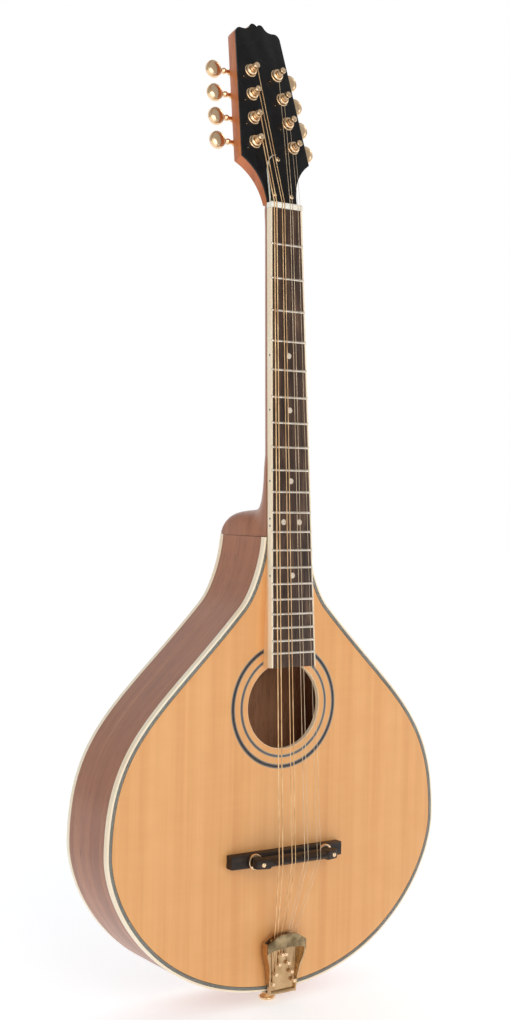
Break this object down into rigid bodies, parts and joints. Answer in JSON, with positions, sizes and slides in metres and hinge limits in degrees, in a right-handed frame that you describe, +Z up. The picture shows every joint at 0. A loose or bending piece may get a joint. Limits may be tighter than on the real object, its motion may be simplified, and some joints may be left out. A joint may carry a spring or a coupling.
{
  "type": "octave mandolin",
  "caption": "Flat-top octave mandolin with a teardrop body, bound edges, paired strings, geared tuning machines, a height-adjustable bridge and a cast tailpiece.",
  "frame": {"origin": "middle of the strap button's flat end, the lowest point of the upright instrument", "axes": "+Z up the centreline from the tail to the headstock, +X to the treble side, the soundboard faces -Y and the back faces +Y"},
  "size_m": [0.358, 0.1091, 0.8996],
  "materials": {
    "spruce_top": "satin lacquer over straight-grained spruce",
    "mahogany": "satin lacquer over mahogany",
    "cream_binding": "polished cream plastic",
    "dark_rosewood": "oiled dark rosewood",
    "black_gloss": "polished black",
    "truss_steel": "bare steel bar",
    "bone_nut": "polished bone",
    "bronze_wound": "bronze wire wound on steel",
    "plain_steel": "plain drawn steel wire",
    "gold_plate": "polished gold plating"
  },
  "bodies": {
    "instrument": {"soundboard": "spruce_top", "back_plate": "mahogany", "top_binding": "cream_binding", "back_binding": "cream_binding", "rim_bass": "mahogany", "rim_treble": "mahogany", "top_lining": "mahogany", "back_lining": "mahogany", "neck_block": "mahogany", "tail_block": "mahogany", "x_brace": "spruce_top", "upper_brace": "spruce_top", "back_brace_upper": "spruce_top", "back_brace_lower": "spruce_top", "neck": "mahogany", "headstock_overlay": "black_gloss", "truss_rod": "truss_steel", "truss_rod_cover": "black_gloss", "fretboard": "dark_rosewood", "fretboard_binding": "cream_binding", "nut": "bone_nut", "fretboard_riser": "spruce_top", "tuner_housing_1": "gold_plate", "tuner_housing_2": "gold_plate", "tuner_housing_3": "gold_plate", "tuner_housing_4": "gold_plate", "tuner_housing_5": "gold_plate", "tuner_housing_6": "gold_plate", "tuner_housing_7": "gold_plate", "tuner_housing_8": "gold_plate", "string_1": "bronze_wound", "string_2": "bronze_wound", "string_3": "bronze_wound", "string_4": "bronze_wound", "string_5": "plain_steel", "string_6": "plain_steel", "string_7": "plain_steel", "string_8": "plain_steel", "bridge_foot": "dark_rosewood", "tailpiece": "gold_plate", "strap_button": "gold_plate"},
    "knob_1": {"tuner_knob_1": "gold_plate"},
    "post_1": {"string_post_1": "gold_plate"},
    "knob_2": {"tuner_knob_2": "gold_plate"},
    "post_2": {"string_post_2": "gold_plate"},
    "knob_3": {"tuner_knob_3": "gold_plate"},
    "post_3": {"string_post_3": "gold_plate"},
    "knob_4": {"tuner_knob_4": "gold_plate"},
    "post_4": {"string_post_4": "gold_plate"},
    "knob_5": {"tuner_knob_5": "gold_plate"},
    "post_5": {"string_post_5": "gold_plate"},
    "knob_6": {"tuner_knob_6": "gold_plate"},
    "post_6": {"string_post_6": "gold_plate"},
    "knob_7": {"tuner_knob_7": "gold_plate"},
    "post_7": {"string_post_7": "gold_plate"},
    "knob_8": {"tuner_knob_8": "gold_plate"},
    "post_8": {"string_post_8": "gold_plate"},
    "saddle": {"saddle": "dark_rosewood"},
    "thumbwheel_bass": {"thumbwheel_bass": "gold_plate"},
    "thumbwheel_treble": {"thumbwheel_treble": "gold_plate"}
  },
  "joints": [
    {"name": "tuner_knob_1_turn", "type": "hinge", "parent": "instrument", "child": "knob_1", "pos_m": [-0.0212, 0.03447, 0.78252], "axis": [1, 0, 0], "continuous": true},
    {"name": "string_post_1_turn", "type": "hinge", "parent": "instrument", "child": "post_1", "pos_m": [-0.0212, 0.03274, 0.77625], "axis": [0, 0.9636, -0.2672], "continuous": true},
    {"name": "tuner_knob_2_turn", "type": "hinge", "parent": "instrument", "child": "knob_2", "pos_m": [-0.019, 0.04091, 0.80574], "axis": [1, 0, 0], "continuous": true},
    {"name": "string_post_2_turn", "type": "hinge", "parent": "instrument", "child": "post_2", "pos_m": [-0.019, 0.03918, 0.79948], "axis": [0, 0.9636, -0.2672], "continuous": true},
    {"name": "tuner_knob_3_turn", "type": "hinge", "parent": "instrument", "child": "knob_3", "pos_m": [-0.0168, 0.04735, 0.82896], "axis": [1, 0, 0], "continuous": true},
    {"name": "string_post_3_turn", "type": "hinge", "parent": "instrument", "child": "post_3", "pos_m": [-0.0168, 0.04562, 0.8227], "axis": [0, 0.9636, -0.2672], "continuous": true},
    {"name": "tuner_knob_4_turn", "type": "hinge", "parent": "instrument", "child": "knob_4", "pos_m": [-0.0146, 0.05379, 0.85219], "axis": [1, 0, 0], "continuous": true},
    {"name": "string_post_4_turn", "type": "hinge", "parent": "instrument", "child": "post_4", "pos_m": [-0.0146, 0.05206, 0.84592], "axis": [0, 0.9636, -0.2672], "continuous": true},
    {"name": "tuner_knob_5_turn", "type": "hinge", "parent": "instrument", "child": "knob_5", "pos_m": [0.0212, 0.03447, 0.78252], "axis": [1, 0, 0], "continuous": true},
    {"name": "string_post_5_turn", "type": "hinge", "parent": "instrument", "child": "post_5", "pos_m": [0.0212, 0.03274, 0.77625], "axis": [0, 0.9636, -0.2672], "continuous": true},
    {"name": "tuner_knob_6_turn", "type": "hinge", "parent": "instrument", "child": "knob_6", "pos_m": [0.019, 0.04091, 0.80574], "axis": [1, 0, 0], "continuous": true},
    {"name": "string_post_6_turn", "type": "hinge", "parent": "instrument", "child": "post_6", "pos_m": [0.019, 0.03918, 0.79948], "axis": [0, 0.9636, -0.2672], "continuous": true},
    {"name": "tuner_knob_7_turn", "type": "hinge", "parent": "instrument", "child": "knob_7", "pos_m": [0.0168, 0.04735, 0.82896], "axis": [1, 0, 0], "continuous": true},
    {"name": "string_post_7_turn", "type": "hinge", "parent": "instrument", "child": "post_7", "pos_m": [0.0168, 0.04562, 0.8227], "axis": [0, 0.9636, -0.2672], "continuous": true},
    {"name": "tuner_knob_8_turn", "type": "hinge", "parent": "instrument", "child": "knob_8", "pos_m": [0.0146, 0.05379, 0.85219], "axis": [1, 0, 0], "continuous": true},
    {"name": "string_post_8_turn", "type": "hinge", "parent": "instrument", "child": "post_8", "pos_m": [0.0146, 0.05206, 0.84592], "axis": [0, 0.9636, -0.2672], "continuous": true},
    {"name": "saddle_height", "type": "slide", "parent": "instrument", "child": "saddle", "axis": [0, -1, 0], "range_m": [-0.001, 0.0025], "deforming": ["string_1", "string_2", "string_3", "string_4", "string_5", "string_6", "string_7", "string_8"]},
    {"name": "thumbwheel_bass_turn", "type": "hinge", "parent": "saddle", "child": "thumbwheel_bass", "pos_m": [-0.0369, -0.0309, 0.1364], "axis": [0, -1, 0], "range_deg": [-520, 1290]},
    {"name": "thumbwheel_treble_turn", "type": "hinge", "parent": "saddle", "child": "thumbwheel_treble", "pos_m": [0.0399, -0.0309, 0.1364], "axis": [0, -1, 0], "range_deg": [-520, 1290]}
  ],
  "couplings": [
    {"joint": "string_post_1_turn", "follows": "tuner_knob_1_turn", "ratio": -0.071429},
    {"joint": "string_post_2_turn", "follows": "tuner_knob_2_turn", "ratio": -0.071429},
    {"joint": "string_post_3_turn", "follows": "tuner_knob_3_turn", "ratio": -0.071429},
    {"joint": "string_post_4_turn", "follows": "tuner_knob_4_turn", "ratio": -0.071429},
    {"joint": "string_post_5_turn", "follows": "tuner_knob_5_turn", "ratio": -0.071429},
    {"joint": "string_post_6_turn", "follows": "tuner_knob_6_turn", "ratio": -0.071429},
    {"joint": "string_post_7_turn", "follows": "tuner_knob_7_turn", "ratio": -0.071429},
    {"joint": "string_post_8_turn", "follows": "tuner_knob_8_turn", "ratio": -0.071429},
    {"joint": "thumbwheel_bass_turn", "follows": "saddle_height", "rad_per_m": 8976},
    {"joint": "thumbwheel_treble_turn", "follows": "saddle_height", "rad_per_m": 8976}
  ]
}
